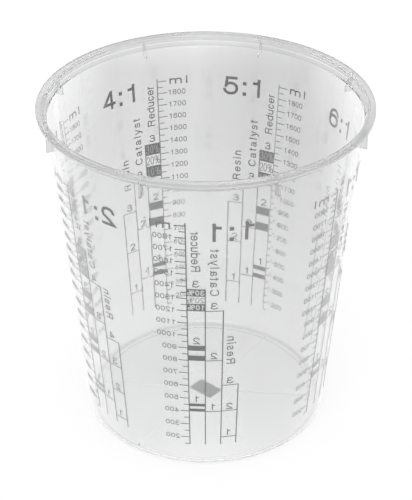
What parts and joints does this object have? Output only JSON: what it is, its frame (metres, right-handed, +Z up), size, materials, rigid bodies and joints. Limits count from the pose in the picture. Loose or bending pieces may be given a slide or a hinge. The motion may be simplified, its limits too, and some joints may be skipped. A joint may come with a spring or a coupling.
{
  "type": "resin mixing cup",
  "caption": "Clear tapered plastic cup with a flanged mouth and printed volume scales and mixing-ratio charts, for measuring and mixing resin or paint.",
  "frame": {"origin": "middle of the base, on the surface that the cup stands on", "axes": "+Z up along the cup's axis, -Y towards the front, where the 1:1 scale is"},
  "size_m": [0.1554, 0.1554, 0.1664],
  "materials": {
    "clear_plastic": "clear natural polypropylene, slightly milky, satin moulded surface",
    "print_ink": "dark grey screen-printed ink",
    "mark_ink": "plain mid-grey printed patch"
  },
  "bodies": {
    "root": {"cup": "clear_plastic", "base_mark": "mark_ink", "volume_scale_1_to_1": "print_ink", "volume_scale_2_to_1": "print_ink", "volume_scale_3_to_1": "print_ink", "volume_scale_4_to_1": "print_ink", "volume_scale_5_to_1": "print_ink", "volume_scale_6_to_1": "print_ink", "volume_scale_7_to_1": "print_ink", "ratio_chart_1_to_1": "print_ink", "ratio_chart_2_to_1": "print_ink", "ratio_chart_3_to_1": "print_ink", "ratio_chart_4_to_1": "print_ink", "ratio_chart_5_to_1": "print_ink", "ratio_chart_6_to_1": "print_ink", "ratio_chart_7_to_1": "print_ink"}
  },
  "joints": []
}
